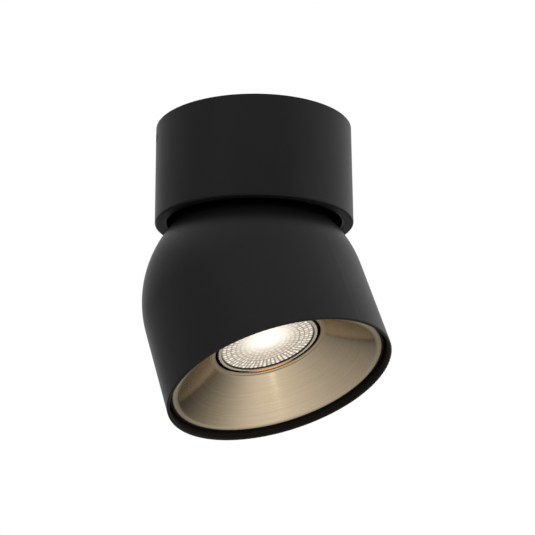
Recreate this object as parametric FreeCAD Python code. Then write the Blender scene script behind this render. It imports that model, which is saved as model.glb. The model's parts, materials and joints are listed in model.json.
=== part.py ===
import FreeCAD, Part
import math
import os

# A surface mounted ceiling spotlight: a round canopy, and under it a domed shade that pans and tilts.
# The origin is the middle of the ceiling plane and +Z points up, so everything hangs at negative z.
# The ceiling bracket lies along X. Lengths are millimetres and angles are degrees.

# Shade, a spun cylinder closed by a dome whose centre is close to the pivot
shade_d = 110.0
shade_wall = 1.5
shade_edge_r = 0.5
mouth_drop = 46.3  # from the pivot down to the mouth
dome_r = 57.8
dome_centre_drop = 0.8  # from the pivot down to the dome arc's centre

# Canopy, a drawn cup with its bottom rim turned in and up
rim_above_pivot = 38.7
rim_gap = 1.0  # least gap between the rim and the dome at any tilt
rim_width = 6.15
rim_hem_h = 5.0
canopy_wall = 1.5
canopy_edge_r = 0.9
bend_r = 0.5  # inside radius of the canopy's bends

# How the head stands, and how far it goes
rest_tilt = 22.8
rest_pan = -58.7
tilt_max = 30.0

# Pan pivot, a hollow nipple through the carrier plate
nipple_d = 10.0
nipple_bore_d = 7.4
nipple_over = 3.0  # thread that stands past the pan nut
dome_clear = 5.6  # from the dome up to the collar
collar_d = 18.0
collar_h = 3.5
collar_flats = 16.0
slip_washer_d = 20.0
slip_washer_t = 0.5
plate_t = 2.0
plate_width = 52.0
plate_tab_h = 9.0
plate_tab_width = 30.0
stop_washer_d = 22.0
stop_washer_t = 1.4
stop_tab_width = 2.5
stop_tab_over = 1.6  # tab past the stop pin's centre
stop_pin_d = 2.5
stop_pin_circle_r = 16.0
stop_pin_h = 4.5
disc_spring_t = 0.8
disc_spring_rise = 0.4
nut_flats = 14.0
pan_nut_h = 3.0
running_gap = 0.05
thread_gap = 0.02

# Yoke, a bent strip that hangs from the nipple inside the dome
sweep_clear = 1.9  # from the dome's inside to all that stays still while it tilts
yoke_t = 2.0
yoke_width = 14.0
yoke_bend = 5.0
yoke_ear_d = 16.0
yoke_upper_nut_h = 3.0
yoke_lower_nut_h = 2.5
nipple_under = 0.2  # nipple past the lower nut
bush_flange_t = 0.6
bush_wall = 0.7
bush_edge_r = 0.2
bush_plug_h = 4.0
slot_gap = 0.6  # between the nipple and the sides of the dome's slot

# Lamp frame, a bent strip that tilts on the yoke and is welded to the shade
frame_t = 1.5
frame_width = 18.0
frame_span = 72.0  # over the outside of its legs
frame_bend = 2.5
frame_foot_drop = 10.5  # from the pivot down to the feet
bridge_clear = 3.2  # from the turning bridge up to the bush
shoulder_gap = 1.2  # between the shoulders of the frame and of the yoke
friction_washer_d = 14.0
friction_washer_t = 1.0

# Tilt screws
tilt_screw_d = 4.0
tilt_head_d = 7.6
tilt_head_h = 2.4
tilt_head_crown_r = 1.4
tilt_socket_flats = 2.5
tilt_socket_depth = 1.4
tilt_nut_flats = 7.0
tilt_nut_h = 3.2
tilt_spring_d = 9.0
tilt_spring_t = 0.6
tilt_spring_rise = 0.3
tilt_screw_over = 0.8  # screw past its nut

# Lampholder for a twist-lock lamp with two pins
holder_length = 28.0
holder_width = 18.0
holder_h = 14.0
holder_corner_r = 3.0
holder_front_t = 2.5
holder_screw_d = 3.0
holder_screw_pitch = 21.0
holder_head_d = 5.6
holder_head_h = 1.8
holder_head_gap = 0.5
holder_counterbore = 3.4
pin_pitch = 10.0
pin_neck_d = 3.0
pin_head_d = 4.8
pin_neck_h = 3.0
pin_length = 7.0
pin_gap = 0.25
lock_turn = 20.0
contact_t = 0.5
contact_width = 3.0
contact_length = 7.6

# Lamp, 50 mm across its face
lamp_d = 50.0
lamp_length = 47.0  # from the lens face to the end of the base, without pins
bezel_width = 1.9
bezel_over = 0.4
bezel_edge_r = 0.7
bezel_h = 5.5
lens_t = 2.4
lens_edge_r = 0.3
lens_gap = 0.2
housing_wall = 1.3
housing_waist_d = 40.0
housing_waist_h = 17.0
housing_top_d = 30.0
housing_mouth_d = 42.4  # inside the housing, behind the lens
board_depth = 7.0  # from the lens face to the back of the LED board
board_t = 1.2
board_gap = 0.15
chip_d = 9.0
chip_h = 1.0
base_h = 10.0
base_flange_h = 2.0
base_plug_h = 2.0
base_neck_d = 26.0
base_flats = 17.0
driver_length = 16.0
driver_board_t = 1.6
driver_h = 13.0
driver_part_d = 6.0
driver_part_length = 9.0
driver_part_sunk = 0.3

# Reflector, a spun cone with a skirt, a rounded shoulder and a rolled bead
reflector_gap = 0.3  # to the shade's inside
reflector_t = 1.0
lip_depth = 3.2  # from the mouth up to the shoulder
shoulder_r = 3.0
skirt_h = 6.2  # straight, above the shoulder's arc
throat_gap = 1.0  # around the lamp
bead_width = 2.3
bead_h = 0.75
bead_lean = 0.1  # from the foot of its outer side in to its face
bead_outer_round = 0.6
bead_inner_round = 1.1
crease_width = 0.5
collar_over = 3.0  # height of the throat's collar behind the bead
throat_over = 0.4  # from the throat to the lens face

# Reflector clips
clip_count = 3
clip_t = 0.5
clip_width = 8.0
clip_foot_h = 6.0
clip_lean_h = 4.5
clip_tip_h = 3.0
clip_tip_back = 1.2
clip_gap = 0.1
rivet_d = 2.4
rivet_head_d = 4.0
rivet_head_h = 0.5
rivet_flat_share = 0.5  # of the gap to the shade, for the flattened outer head

# Ceiling bracket and the canopy's side screws
wiring_space = 9.1  # from the nipple's top up to the bracket
bracket_t = 2.0
bracket_width = 22.0
bracket_bend = 1.0
bracket_gap = 0.4
bracket_tab_h = 12.0
bracket_slot_pitch = 60.0
bracket_slot_length = 10.0
bracket_slot_width = 4.5
cable_hole_d = 16.0
side_screw_d = 4.0
side_hole_d = 4.5
side_screw_drop = 7.0
side_screw_recess = 0.7
side_screw_over = 1.5
side_socket_flats = 2.0
side_socket_depth = 2.0

# Terminal block, with three poles
pole_count = 3
pole_pitch = 8.0
block_depth = 16.0
block_base_h = 8.0
block_tower_h = 4.0
block_tower_d = 6.0
block_end_wall = 4.2  # from the outer pole's centre to the block's end
block_gap = 1.4  # from the stop washer's sweep
clamp_d = 4.4
clamp_bore_d = 2.8
clamp_inset = 1.5
clamp_height = 4.6  # centre above the plate
clamp_screw_d = 3.0
clamp_screw_pitch = 9.0
clamp_screw_sunk = 1.0
block_screw_d = 3.0
block_screw_head_d = 5.4
block_screw_head_h = 1.6
screw_slot_width = 0.6
screw_slot_depth = 0.7

# Earth connection and leads
earth_screw_d = 4.0
earth_head_d = 7.0
earth_head_h = 2.6
earth_screw_past = 2.0
earth_screw_out = 6.0  # from the block's end to the screw
earth_washer_d = 8.6
earth_washer_t = 0.8
earth_tag_t = 0.8
earth_tag_d = 7.6
earth_barrel_length = 5.0
earth_barrel_d = 3.4
earth_neck = 0.5  # between the ring and the barrel
earth_lead_in = 4.0  # lead inside the barrel
lead_d = 2.2
lead_spacing = 2.9
lead_bend = 3.4
lead_stand = 4.6  # from the block's face to the lead's rise
lead_end_gap = 0.4

# ---- Worked out from the sizes above ----

shade_r = shade_d / 2
shade_in_r = shade_r - shade_wall
dome_centre_x = shade_r - dome_r
mouth_z = -mouth_drop

lamp_r = lamp_d / 2
nipple_r = nipple_d / 2
nut_corner_r = nut_flats / math.sqrt(3)


def dome_reach(radius, farthest):
    """Greatest or least distance from the pivot to the dome's arc of this radius."""
    top = math.degrees(math.acos(-dome_centre_x / radius))
    angles = [math.radians(top * step / 90) for step in range(91)]
    reaches = [
        math.hypot(dome_centre_x + radius * math.cos(a), radius * math.sin(a) - dome_centre_drop)
        for a in angles
    ]
    return max(reaches) if farthest else min(reaches)


# Heights called ..._w are measured up from the pivot
dome_out_reach = dome_reach(dome_r, True)
dome_in_reach = dome_reach(dome_r - shade_wall, False)
rim_in_r = math.sqrt((dome_out_reach + rim_gap) ** 2 - rim_above_pivot**2)
canopy_r = rim_in_r + rim_width
canopy_in_r = canopy_r - canopy_wall

collar_low_w = dome_out_reach + dome_clear
collar_top_w = collar_low_w + collar_h
plate_low_w = collar_top_w + slip_washer_t
plate_top_w = plate_low_w + plate_t
stop_low_w = plate_top_w + slip_washer_t
stop_top_w = stop_low_w + stop_washer_t
spring_top_w = stop_top_w + disc_spring_t + disc_spring_rise
pan_nut_top_w = spring_top_w + pan_nut_h
nipple_top_w = pan_nut_top_w + nipple_over
pivot_drop = nipple_top_w + wiring_space + bracket_t
canopy_h = pivot_drop - rim_above_pivot

yoke_reach = dome_in_reach - sweep_clear
yoke_top_w = math.sqrt(yoke_reach**2 - nut_corner_r**2) - yoke_upper_nut_h
yoke_low_w = yoke_top_w - yoke_t
nipple_low_w = yoke_low_w - yoke_lower_nut_h - nipple_under
bush_low_w = nipple_low_w - bush_flange_t

frame_leg_v = frame_span / 2
yoke_leg_v = frame_leg_v + friction_washer_t + yoke_t
frame_reach = yoke_reach - yoke_t - shoulder_gap
bridge_top_w = math.sqrt((bush_low_w - bridge_clear) ** 2 - (frame_width / 2) ** 2)
bridge_low_w = bridge_top_w - frame_t

holder_low_w = bridge_low_w - holder_h
lens_w = holder_low_w - lamp_length
bezel_w = lens_w - bezel_over
base_low_w = holder_low_w - base_h
board_w = lens_w + board_depth
lens_r = lamp_r - bezel_width - lens_gap

reflector_r = shade_in_r - reflector_gap
skirt_in_r = reflector_r - reflector_t
lip_w = mouth_z + lip_depth
skirt_top_w = lip_w + shoulder_r + skirt_h
throat_r = lamp_r + throat_gap
crease_r = throat_r + bead_width + crease_width
throat_w = lens_w - throat_over


def cone_angle():
    """Slope, in radians, of the line from the throat's crease that is tangent to the shoulder's arc."""
    across = reflector_r - shoulder_r - crease_r
    down = throat_w - (lip_w + shoulder_r)
    return math.atan2(down, across) + math.asin(shoulder_r / math.hypot(across, down))


cone_slope = math.tan(cone_angle())
cone_rise = reflector_t / math.cos(cone_angle())

block_length = (pole_count - 1) * pole_pitch + 2 * block_end_wall
block_front_y = stop_pin_circle_r + stop_tab_over + block_gap
block_centre_y = block_front_y + block_depth / 2
plate_top_z = plate_top_w - pivot_drop
clamp_z = plate_top_z + clamp_height
pole_x = [(i - (pole_count - 1) / 2) * pole_pitch for i in range(pole_count)]
earth_x = block_length / 2 + earth_screw_out
earth_y = block_centre_y

FAR = 4 * shade_d  # longer than anything, for cutting tools
TINY = 1e-7


# ---- Shapes that many pieces share ----


def vec(x, y, z):
    return FreeCAD.Vector(x, y, z)


ORIGIN = vec(0, 0, 0)
UP = vec(0, 0, 1)
ALONG_X = vec(1, 0, 0)
ALONG_Y = vec(0, 1, 0)


def rounded_corner(before, here, after, radius):
    """Start, middle and end of the arc that rounds the corner at here."""
    back = (before - here).normalize()
    onward = (after - here).normalize()
    half = back.getAngle(onward) / 2
    bisector = (back + onward).normalize()
    centre = here + bisector * (radius / math.sin(half))
    reach = radius / math.tan(half)
    return here + back * reach, centre - bisector * radius, here + onward * reach


def rounded_wire(corners, closed):
    """Straight runs joined by tangent arcs. Each corner is a point and the radius that rounds it."""
    count = len(corners)
    turns = []
    for i, (here, radius) in enumerate(corners):
        is_end = not closed and i in (0, count - 1)
        if radius <= 0 or is_end:
            turns.append((here, None, here))
        else:
            before = corners[i - 1][0]
            after = corners[(i + 1) % count][0]
            turns.append(rounded_corner(before, here, after, radius))
    edges = []
    runs = count if closed else count - 1
    for i, (start, middle, end) in enumerate(turns):
        if middle is not None:
            edges.append(Part.Arc(start, middle, end).toShape())
        following = turns[(i + 1) % count][0]
        if i < runs and (following - end).Length > TINY:
            edges.append(Part.makeLine(end, following))
    return Part.Wire(edges)


def section(corners):
    """Face in the XZ plane from (x, z, corner radius) values."""
    points = [(vec(x, 0, z), radius) for x, z, radius in corners]
    return Part.Face(rounded_wire(points, True))


def turned(corners):
    """Solid of revolution about Z from (radius, z, corner radius) values."""
    return section(corners).revolve(ORIGIN, UP, 360)


def extruded(corners, width):
    """XZ outline given a width along Y, centred on Y = 0."""
    face = section(corners)
    face.translate(vec(0, -width / 2, 0))
    return face.extrude(vec(0, width, 0))


def strip_corners(points, thickness, bend):
    """Outline of a bent strip: points (x, z) along one face, the metal lies to their left."""
    count = len(points)
    near = []
    far = []
    for i, (x, z) in enumerate(points):
        x0, z0 = points[max(i - 1, 0)]
        x1, z1 = points[min(i + 1, count - 1)]
        into = vec(x - x0, 0, z - z0) if i > 0 else vec(x1 - x, 0, z1 - z)
        out = vec(x1 - x, 0, z1 - z) if i < count - 1 else into
        into.normalize()
        out.normalize()
        left_in = vec(-into.z, 0, into.x)
        left_out = vec(-out.z, 0, out.x)
        miter = (left_in + left_out).normalize()
        offset = thickness / miter.dot(left_in)
        turn = into.x * out.z - into.z * out.x
        is_bend = abs(turn) > TINY
        near_bend = bend + thickness if turn < 0 else bend
        far_bend = bend if turn < 0 else bend + thickness
        near.append((x, z, near_bend if is_bend else 0))
        far.append((x + miter.x * offset, z + miter.z * offset, far_bend if is_bend else 0))
    return near + far[::-1]


def rod(diameter, low, high, x=0.0, y=0.0):
    """Upright cylinder from low to high."""
    return Part.makeCylinder(diameter / 2, high - low, vec(x, y, low), UP)


def block(x0, x1, y0, y1, z0, z1):
    return Part.makeBox(x1 - x0, y1 - y0, z1 - z0, vec(x0, y0, z0))


def washer(outer_d, inner_d, low, high):
    return rod(outer_d, low, high).cut(rod(inner_d, low - 1, high + 1))


def disc_spring(outer_d, inner_d, low, thickness, rise):
    """Slightly conical spring washer."""
    return turned(
        [
            (inner_d / 2, low + rise, 0),
            (outer_d / 2, low, 0),
            (outer_d / 2, low + thickness, 0),
            (inner_d / 2, low + rise + thickness, 0),
        ]
    )


def hexagon(flats, low, high):
    """Upright hexagonal prism."""
    corner_r = flats / math.sqrt(3)
    angles = [math.radians(60 * i) for i in range(7)]
    points = [vec(corner_r * math.cos(a), corner_r * math.sin(a), low) for a in angles]
    return Part.Face(Part.makePolygon(points)).extrude(vec(0, 0, high - low))


def nut(flats, thread_d, low, high):
    """Hexagon nut with its corners turned down at both ends."""
    corner_r = flats / math.sqrt(3)
    turned_down = corner_r - flats / 2
    blank = turned(
        [
            (0, low, 0),
            (flats / 2, low, 0),
            (corner_r, low + turned_down / 2, 0),
            (corner_r, high - turned_down / 2, 0),
            (flats / 2, high, 0),
            (0, high, 0),
        ]
    )
    return hexagon(flats, low, high).common(blank).cut(rod(thread_d, low - 1, high + 1))


def slotted_head(diameter, low, height):
    """Round screw head with a driver slot, its flat side at low."""
    crown = min(height, diameter / 2) / 2
    head = turned(
        [(0, low, 0), (diameter / 2, low, 0), (diameter / 2, low + height, crown), (0, low + height, 0)]
    )
    slot = block(-diameter, diameter, -screw_slot_width / 2, screw_slot_width / 2,
                 low + height - screw_slot_depth, low + height + 1)
    return head.cut(slot)


def lead(corners, bend):
    """Round insulated wire along straight runs joined by arcs."""
    path = rounded_wire([(point, bend) for point in corners], False)
    start = corners[0]
    heading = corners[1] - corners[0]
    profile = Part.Wire(Part.makeCircle(lead_d / 2, start, heading))
    return path.makePipeShell([profile], True, False)


def turned_about_z(shape, angle):
    copy = shape.copy()
    copy.rotate(ORIGIN, UP, angle)
    return copy


def laid_along_y(shape):
    """A part made along +Z, laid so that its +Z points along +Y."""
    copy = shape.copy()
    copy.rotate(ORIGIN, ALONG_X, -90)
    return copy


def both_sides(shape):
    """A part at +Y and its twin at -Y, turned half round."""
    return [shape, turned_about_z(shape, 180)]


# ---- Where each body stands ----


def on_canopy(shapes):
    return shapes


def on_pan(shapes):
    """From the pivot's frame to the object's, turned with the pan."""
    placed = []
    for shape in shapes:
        copy = shape.copy()
        copy.translate(vec(0, 0, -pivot_drop))
        copy.rotate(ORIGIN, UP, rest_pan)
        placed.append(copy)
    return placed


def on_head(shapes):
    """From the straight head's frame: tilted about the pivot, then placed as the pan parts are."""
    tilted = []
    for shape in shapes:
        copy = shape.copy()
        copy.rotate(ORIGIN, ALONG_Y, -rest_tilt)
        tilted.append(copy)
    return on_pan(tilted)


def save(name, shapes, place):
    solids = []
    for shape in place(shapes):
        solids.extend(shape.Solids)
    result = solids[0] if len(solids) == 1 else Part.makeCompound(solids)
    result.exportStep("parts/" + name + ".step")
    volume = sum(solid.Volume for solid in solids)
    print(f"{name:24s} {len(solids):2d} solid(s) {volume:10.1f} mm3 valid={result.isValid()}")


# ---- Canopy and what is fixed to it ----


def canopy():
    """Drawn cup. Its rim is turned in as a flat ring, then up as a hem."""
    hem_out_r = rim_in_r + canopy_wall
    floor_z = canopy_wall - canopy_h
    cup = turned(
        [
            (canopy_r, 0, 0),
            (canopy_r, -canopy_h, canopy_edge_r),
            (rim_in_r, -canopy_h, bend_r + canopy_wall),
            (rim_in_r, rim_hem_h - canopy_h, canopy_wall / 3),
            (hem_out_r, rim_hem_h - canopy_h, canopy_wall / 3),
            (hem_out_r, floor_z, bend_r),
            (canopy_in_r, floor_z, bend_r),
            (canopy_in_r, 0, 0),
        ]
    )
    hole = Part.makeCylinder(side_hole_d / 2, 2 * FAR, vec(-FAR, 0, -side_screw_drop), ALONG_X)
    return cup.cut(hole)


def bracket_tab_x():
    """Outer face of the bracket's tabs, whose corners stay clear of the canopy."""
    return math.sqrt(canopy_in_r**2 - (bracket_width / 2) ** 2) - bracket_gap


def ceiling_bracket():
    """Steel strip bent down at both ends, with two ceiling slots, a cable hole and tapped tabs."""
    tab_x = bracket_tab_x()
    path = [(-tab_x, -bracket_tab_h), (-tab_x, 0), (tab_x, 0), (tab_x, -bracket_tab_h)]
    outline = strip_corners([(-x, z) for x, z in path], bracket_t, bracket_bend)
    strip = extruded(outline, bracket_width)
    holes = [rod(cable_hole_d, -FAR, FAR)]
    half_run = (bracket_slot_length - bracket_slot_width) / 2
    for side in (-1, 1):
        x = side * bracket_slot_pitch / 2
        holes.append(rod(bracket_slot_width, -bracket_t - 1, 1, x - half_run))
        holes.append(rod(bracket_slot_width, -bracket_t - 1, 1, x + half_run))
        half_slot = bracket_slot_width / 2
        holes.append(block(x - half_run, x + half_run, -half_slot, half_slot, -bracket_t - 1, 1))
    holes.append(Part.makeCylinder(side_screw_d / 2, 2 * FAR, vec(-FAR, 0, -side_screw_drop), ALONG_X))
    return strip.cut(holes)


def canopy_side_screws():
    """Grub screws in the bracket's tabs, their outer ends sunk in the canopy's side holes."""
    outer = canopy_r - side_screw_recess
    inner = bracket_tab_x() - bracket_t - side_screw_over
    screw = rod(side_screw_d - 2 * thread_gap, inner, outer)
    screw = screw.cut(hexagon(side_socket_flats, outer - side_socket_depth, outer + 1))
    screw.rotate(ORIGIN, ALONG_Y, 90)
    screw.translate(vec(0, 0, -side_screw_drop))
    return both_sides(screw)


def carrier_plate():
    """Strip across the canopy with two curved tabs welded to the wall, tapped for its screws."""
    low = plate_low_w - pivot_drop
    inside = rod(2 * canopy_in_r, low - plate_tab_h, plate_top_z)
    half = plate_width / 2
    plate = block(-half, half, -FAR, FAR, low, plate_top_z).common(inside)
    tab_ring = inside.cut(rod(2 * (canopy_in_r - plate_t), low - FAR, FAR))
    tab_half = plate_tab_width / 2
    tabs = tab_ring.common(block(-tab_half, tab_half, -FAR, FAR, low - plate_tab_h, low + TINY))
    tabs = tabs.fuse(tab_ring.common(block(-tab_half, tab_half, -FAR, FAR, low, plate_top_z)))
    holes = [rod(nipple_d + 2 * running_gap, low - 1, plate_top_z + 1)]
    holes.append(rod(stop_pin_d, low - 1, plate_top_z + 1, 0, -stop_pin_circle_r))
    holes.append(rod(earth_screw_d, low - 1, plate_top_z + 1, earth_x, earth_y))
    for x in fixing_screw_x():
        holes.append(rod(block_screw_d, low - 1, plate_top_z + 1, x, block_centre_y))
    return plate.fuse(tabs).cut(holes).removeSplitter()


def pan_stop_pin():
    """Pin pressed into the plate, which the stop washer's tab meets at both ends of the pan."""
    low = plate_low_w - pivot_drop
    return rod(stop_pin_d, low, plate_top_z + stop_pin_h, 0, -stop_pin_circle_r)


# ---- Terminal block and leads ----


def fixing_screw_x():
    """The block's fixing screws stand between the poles."""
    return [(a + b) / 2 for a, b in zip(pole_x, pole_x[1:])]


def clamp_screw_y():
    return [block_centre_y - clamp_screw_pitch / 2, block_centre_y + clamp_screw_pitch / 2]


def pole_bore(diameter, front, back, x):
    return Part.makeCylinder(diameter / 2, back - front, vec(x, front, clamp_z), ALONG_Y)


def terminal_block():
    """Plastic body: a bar with a tower over each clamp screw, bored for the clamps and screws."""
    base_top = plate_top_z + block_base_h
    half = block_length / 2
    back_y = block_front_y + block_depth
    body = block(-half, half, block_front_y, back_y, plate_top_z, base_top)
    tower_top = base_top + block_tower_h
    towers = [
        rod(block_tower_d, clamp_z, tower_top, x, y) for x in pole_x for y in clamp_screw_y()
    ]
    holes = []
    for x in pole_x:
        holes.append(pole_bore(clamp_d, block_front_y - 1, back_y + 1, x))
        for y in clamp_screw_y():
            holes.append(rod(clamp_screw_d, clamp_z, tower_top + 1, x, y))
    for x in fixing_screw_x():
        holes.append(rod(block_screw_d, plate_top_z - 1, base_top + 1, x, block_centre_y))
    return body.fuse(towers).cut(holes).removeSplitter()


def terminal_clamps():
    """Brass tubes, each tapped for two clamp screws."""
    clamps = []
    front = block_front_y + clamp_inset
    back = block_front_y + block_depth - clamp_inset
    for x in pole_x:
        tube = pole_bore(clamp_d, front, back, x).cut(pole_bore(clamp_bore_d, front - 1, back + 1, x))
        taps = [rod(clamp_screw_d, clamp_z, clamp_z + clamp_d, x, y) for y in clamp_screw_y()]
        clamps.append(tube.cut(taps))
    return clamps


def terminal_screws():
    """Slotted screws without heads, down the towers into the clamps."""
    top = plate_top_z + block_base_h + block_tower_h - clamp_screw_sunk
    low = clamp_z + clamp_bore_d / 2
    screw = rod(clamp_screw_d - 2 * thread_gap, low, top)
    slot = block(-clamp_screw_d, clamp_screw_d, -screw_slot_width / 2, screw_slot_width / 2,
                 top - screw_slot_depth, top + 1)
    screw = screw.cut(slot)
    screws = []
    for x in pole_x:
        for y in clamp_screw_y():
            copy = screw.copy()
            copy.translate(vec(x, y, 0))
            screws.append(copy)
    return screws


def terminal_fixing_screws():
    """Screws that hold the block down on the plate."""
    base_top = plate_top_z + block_base_h
    low = plate_low_w - pivot_drop
    screw = slotted_head(block_screw_head_d, base_top, block_screw_head_h)
    screw = screw.fuse(rod(block_screw_d - 2 * thread_gap, low, base_top)).removeSplitter()
    screws = []
    for x in fixing_screw_x():
        copy = screw.copy()
        copy.translate(vec(x, block_centre_y, 0))
        screws.append(copy)
    return screws


def earth_barrel_y():
    """Open end of the tag's barrel, which the earth lead enters."""
    return earth_y - earth_tag_d / 2 - earth_neck - earth_barrel_length


def earth_tag():
    """Ring tag with a crimp barrel, held under the earth screw."""
    top = plate_top_z + earth_tag_t
    ring = rod(earth_tag_d, plate_top_z, top, earth_x, earth_y)
    barrel_z = plate_top_z + earth_barrel_d / 2
    barrel_mouth = vec(earth_x, earth_barrel_y(), barrel_z)
    barrel = Part.makeCylinder(earth_barrel_d / 2, earth_barrel_length, barrel_mouth, ALONG_Y)
    half = earth_barrel_d / 2
    neck_y = earth_barrel_y() + earth_barrel_length - earth_tag_t
    neck = block(earth_x - half, earth_x + half, neck_y, earth_y, plate_top_z, top)
    bore = Part.makeCylinder(lead_d / 2, earth_lead_in, barrel_mouth, ALONG_Y)
    hole = rod(earth_screw_d, plate_top_z - 1, top + 1, earth_x, earth_y)
    return ring.fuse([barrel, neck]).cut([bore, hole]).removeSplitter()


def earth_washer():
    low = plate_top_z + earth_tag_t
    ring = washer(earth_washer_d, earth_screw_d, low, low + earth_washer_t)
    ring.translate(vec(earth_x, earth_y, 0))
    return ring


def earth_screw():
    seat = plate_top_z + earth_tag_t + earth_washer_t
    low = plate_low_w - pivot_drop - earth_screw_past
    screw = slotted_head(earth_head_d, seat, earth_head_h)
    screw = screw.fuse(rod(earth_screw_d - 2 * thread_gap, low, seat)).removeSplitter()
    screw.translate(vec(earth_x, earth_y, 0))
    return screw


def earth_lead():
    """From the last pole round to the tag's barrel."""
    x = pole_x[-1]
    run_y = block_front_y - lead_stand
    barrel_z = plate_top_z + earth_barrel_d / 2
    return lead(
        [
            vec(x, block_front_y + clamp_inset, clamp_z),
            vec(x, run_y, clamp_z),
            vec(earth_x, run_y, barrel_z),
            vec(earth_x, earth_barrel_y() + earth_lead_in, barrel_z),
        ],
        lead_bend,
    )


def supply_lead(pole, side):
    """From a pole over the nipple's top and down through the nipple, on one side of its axis."""
    pan = math.radians(rest_pan)
    x = -math.sin(pan) * side * lead_spacing / 2
    y = math.cos(pan) * side * lead_spacing / 2
    over_z = (nipple_top_w - pivot_drop - bracket_t) / 2
    rise_y = block_front_y - lead_stand
    low = bush_low_w - pivot_drop + lead_end_gap
    return lead(
        [
            vec(x, y, low),
            vec(x, y, over_z),
            vec(pole_x[pole], rise_y, over_z),
            vec(pole_x[pole], rise_y, clamp_z),
            vec(pole_x[pole], block_front_y + clamp_inset, clamp_z),
        ],
        lead_bend,
    )


# ---- Pan pivot and yoke, in the pivot's frame ----


def pan_nipple():
    """Hollow threaded tube that carries the head and passes the leads."""
    chamfer = (nipple_d - nipple_bore_d) / 6
    return turned(
        [
            (nipple_bore_d / 2, nipple_low_w, 0),
            (nipple_r - chamfer, nipple_low_w, 0),
            (nipple_r, nipple_low_w + chamfer, 0),
            (nipple_r, nipple_top_w - chamfer, 0),
            (nipple_r - chamfer, nipple_top_w, 0),
            (nipple_bore_d / 2, nipple_top_w, 0),
        ]
    )


def pan_collar():
    """Tapped collar with two spanner flats, on which the head hangs from the plate."""
    ring = washer(collar_d, nipple_d, collar_low_w, collar_top_w)
    return ring.common(block(-collar_flats / 2, collar_flats / 2, -FAR, FAR, collar_low_w, collar_top_w))


def slip_washer(low):
    return washer(slip_washer_d, nipple_d + 2 * running_gap, low, low + slip_washer_t)


def stop_washer():
    """Washer keyed to the nipple, with the tab that limits the pan. Its tab is opposite the pin at rest."""
    body = washer(stop_washer_d, nipple_d, stop_low_w, stop_top_w)
    half = stop_tab_width / 2
    tab_end = stop_pin_circle_r + stop_tab_over
    tab = block(-half, half, (stop_washer_d + nipple_d) / 4, tab_end, stop_low_w, stop_top_w)
    return turned_about_z(body.fuse(tab).removeSplitter(), -rest_pan)


def nipple_bush():
    """Plastic bush that keeps the leads off the nipple's lower edge."""
    bore_r = nipple_bore_d / 2
    return turned(
        [
            (bore_r - bush_wall, bush_low_w, bush_edge_r),
            (nipple_r, bush_low_w, bush_edge_r),
            (nipple_r, nipple_low_w, 0),
            (bore_r, nipple_low_w, 0),
            (bore_r, nipple_low_w + bush_plug_h, 0),
            (bore_r - bush_wall, nipple_low_w + bush_plug_h, 0),
        ]
    )


def yoke_corner(angle):
    """Point of the yoke's outside at this angle above the tilt axis, on its largest circle."""
    return yoke_reach * math.cos(angle), yoke_reach * math.sin(angle)


def yoke():
    """Strip bent in steps round the lampholder, with a round ear on each tilt screw."""
    side = math.acos(yoke_leg_v / yoke_reach)
    top = math.asin(yoke_top_w / yoke_reach)
    right = [(yoke_leg_v, 0), yoke_corner(side), yoke_corner((side + top) / 2), yoke_corner(top)]
    path = right + [(-v, w) for v, w in reversed(right)]
    strip = extruded(strip_corners(path, yoke_t, yoke_bend), yoke_width)
    strip = turned_about_z(strip, 90)
    ears = []
    for side in (-1, 1):
        outer = side * yoke_leg_v
        inner = side * (yoke_leg_v - yoke_t)
        ears.append(
            Part.makeCylinder(yoke_ear_d / 2, yoke_t, vec(0, min(outer, inner), 0), ALONG_Y)
        )
    holes = [
        rod(nipple_d, yoke_low_w - 1, yoke_top_w + 1),
        Part.makeCylinder(tilt_screw_d / 2 + running_gap, 2 * FAR, vec(0, -FAR, 0), ALONG_Y),
    ]
    return strip.fuse(ears).cut(holes).removeSplitter()


# ---- Shade and lamp frame, in the straight head's frame ----


def dome_point(radius, angle):
    return vec(dome_centre_x + radius * math.cos(angle), 0, radius * math.sin(angle) - dome_centre_drop)


def dome_arc(radius):
    """Arc from the cylinder up to the axis."""
    top = math.acos(-dome_centre_x / radius)
    return Part.Arc(dome_point(radius, 0), dome_point(radius, top / 2), dome_point(radius, top)).toShape()


def slot_cutter():
    """All the places that the nipple takes in the tilting dome, with the slot's gap round it."""
    radius = nipple_r + slot_gap
    straight = Part.makeCylinder(radius, FAR, ORIGIN, UP)
    tilted = straight.copy()
    tilted.rotate(ORIGIN, ALONG_Y, tilt_max)
    turn = math.radians(tilt_max)
    far_corner = (FAR * math.sin(turn), FAR * math.cos(turn), 0)
    between = extruded([(0, 0, 0), (0, FAR, 0), far_corner], 2 * radius)
    return [straight, tilted, between]


def shade():
    """Spun shell with one slot in its dome for the nipple."""
    inner_dome_r = dome_r - shade_wall
    start = dome_point(dome_r, 0)
    in_start = dome_point(inner_dome_r, 0)
    apex = dome_arc(dome_r).Vertexes[-1].Point
    in_apex = dome_arc(inner_dome_r).Vertexes[-1].Point
    rim = rounded_wire(
        [
            (start, 0),
            (vec(shade_r, 0, mouth_z), shade_edge_r),
            (vec(shade_in_r, 0, mouth_z), shade_edge_r),
            (in_start, 0),
        ],
        False,
    )
    edges = [dome_arc(dome_r), Part.makeLine(apex, in_apex), dome_arc(inner_dome_r)] + rim.Edges
    profile = Part.Face(Part.Wire(Part.__sortEdges__(edges)))
    shell = profile.revolve(ORIGIN, UP, 360)
    return shell.cut(slot_cutter())


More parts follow.
